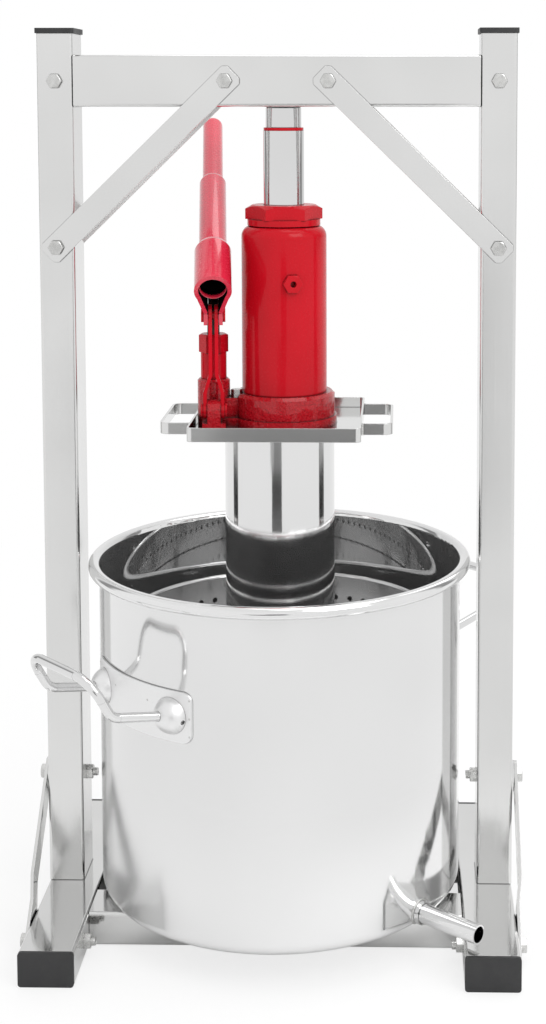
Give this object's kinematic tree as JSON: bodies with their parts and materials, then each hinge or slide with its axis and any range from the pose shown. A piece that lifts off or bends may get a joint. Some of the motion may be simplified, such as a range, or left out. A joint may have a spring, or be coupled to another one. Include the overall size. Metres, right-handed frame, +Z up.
{
  "type": "hydraulic fruit press",
  "caption": "Steel frame with a bottle jack that drives a round press plate into a perforated basket inside a stock pot with a low juice spout.",
  "frame": {"origin": "centre of the footprint on the floor, under the ram's beam and the pot's axis", "axes": "+Z up along the posts, +X to the right along the top beam as the picture shows it, +Y to the rear, away from the spout"},
  "size_m": [0.488, 0.4264, 0.886],
  "materials": {
    "frame_steel": "stainless tube and bar, fine satin grind along the length",
    "pot_steel": "stainless sheet polished to a mirror",
    "basket_steel": "perforated stainless sheet, polished",
    "press_steel": "stainless, turned and polished",
    "bolt_steel": "zinc plated, semi-bright",
    "black_plastic": "moulded, slightly grained",
    "jack_red": "gloss enamel",
    "cast_red": "gloss enamel over a rough casting",
    "ram_chrome": "ground and hard chromed",
    "seal_rubber": "moulded, oily"
  },
  "bodies": {
    "frame": {"foot_left": "frame_steel", "foot_right": "frame_steel", "foot_caps": "black_plastic", "cross_tube_front": "frame_steel", "cross_tube_rear": "frame_steel", "post_left": "frame_steel", "post_right": "frame_steel", "post_stubs": "frame_steel", "post_caps": "black_plastic", "top_beam": "frame_steel", "brace_front_left": "frame_steel", "brace_front_right": "frame_steel", "brace_rear_left": "frame_steel", "brace_rear_right": "frame_steel", "strap_left_front": "frame_steel", "strap_left_rear": "frame_steel", "strap_right_front": "frame_steel", "strap_right_rear": "frame_steel", "base_bolts": "bolt_steel", "strap_foot_bolts": "bolt_steel", "strap_post_bolts": "bolt_steel", "brace_bolts": "bolt_steel", "beam_bolts": "bolt_steel", "pot": "pot_steel", "spout": "pot_steel", "handle_plate_left": "pot_steel", "handle_plate_right": "pot_steel", "pot_handle_left": "pot_steel", "pot_handle_right": "pot_steel", "basket": "basket_steel", "basket_floor": "basket_steel"},
    "press_head": {"press_plate": "press_steel", "column": "press_steel", "tray": "frame_steel", "tray_handle_left": "frame_steel", "tray_handle_right": "frame_steel", "jack_base": "cast_red", "oil_tank": "jack_red", "pressure_cylinder": "bolt_steel", "cap_nut": "jack_red", "filler_plug": "jack_red", "pump_cylinder": "jack_red", "check_plug": "bolt_steel"},
    "ram": {"ram": "ram_chrome", "ram_piston": "bolt_steel", "piston_seal": "seal_rubber", "ram_ring": "jack_red"},
    "extension_screw": {"extension_screw": "bolt_steel"},
    "link": {"link_strap_left": "jack_red", "link_strap_right": "jack_red", "link_pin": "bolt_steel"},
    "lever": {"lever_socket": "jack_red", "fulcrum_pin": "bolt_steel", "pump_pin": "bolt_steel", "handle_lower": "jack_red", "handle_upper": "jack_red"},
    "plunger": {"pump_plunger": "ram_chrome"},
    "release_valve": {"release_valve": "bolt_steel"}
  },
  "joints": [
    {"name": "press_stroke", "type": "slide", "parent": "frame", "child": "press_head", "axis": [0, 0, 1], "range_m": [-0.045, 0.06]},
    {"name": "ram_extend", "type": "slide", "parent": "press_head", "child": "ram", "axis": [0, 0, 1], "range_m": [-0.06, 0.045]},
    {"name": "screw_turn", "type": "hinge", "parent": "ram", "child": "extension_screw", "pos_m": [0.005, 0, 0.8], "axis": [0, 0, 1], "range_deg": [0, 180]},
    {"name": "link_swing", "type": "hinge", "parent": "press_head", "child": "link", "pos_m": [-0.06064, -0.04511, 0.517], "axis": [0.9945, 0.1045, 0], "range_deg": [-1, 1]},
    {"name": "lever_pump", "type": "hinge", "parent": "link", "child": "lever", "pos_m": [-0.06106, -0.04113, 0.609], "axis": [0.9945, 0.1045, 0], "range_deg": [-28, 5]},
    {"name": "pump_stroke", "type": "slide", "parent": "press_head", "child": "plunger", "axis": [0, 0, 1], "range_m": [-0.016, 0.004]},
    {"name": "valve_turn", "type": "hinge", "parent": "press_head", "child": "release_valve", "pos_m": [-0.05498, 0.01582, 0.5161], "axis": [-0.1045, 0.9945, 0], "range_deg": [0, 360]}
  ],
  "couplings": [
    {"joint": "ram_extend", "follows": "press_stroke", "ratio": -1},
    {"joint": "link_swing", "follows": "lever_pump", "ratio": 0.022},
    {"joint": "pump_stroke", "follows": "lever_pump", "m_per_rad": 0.028}
  ]
}
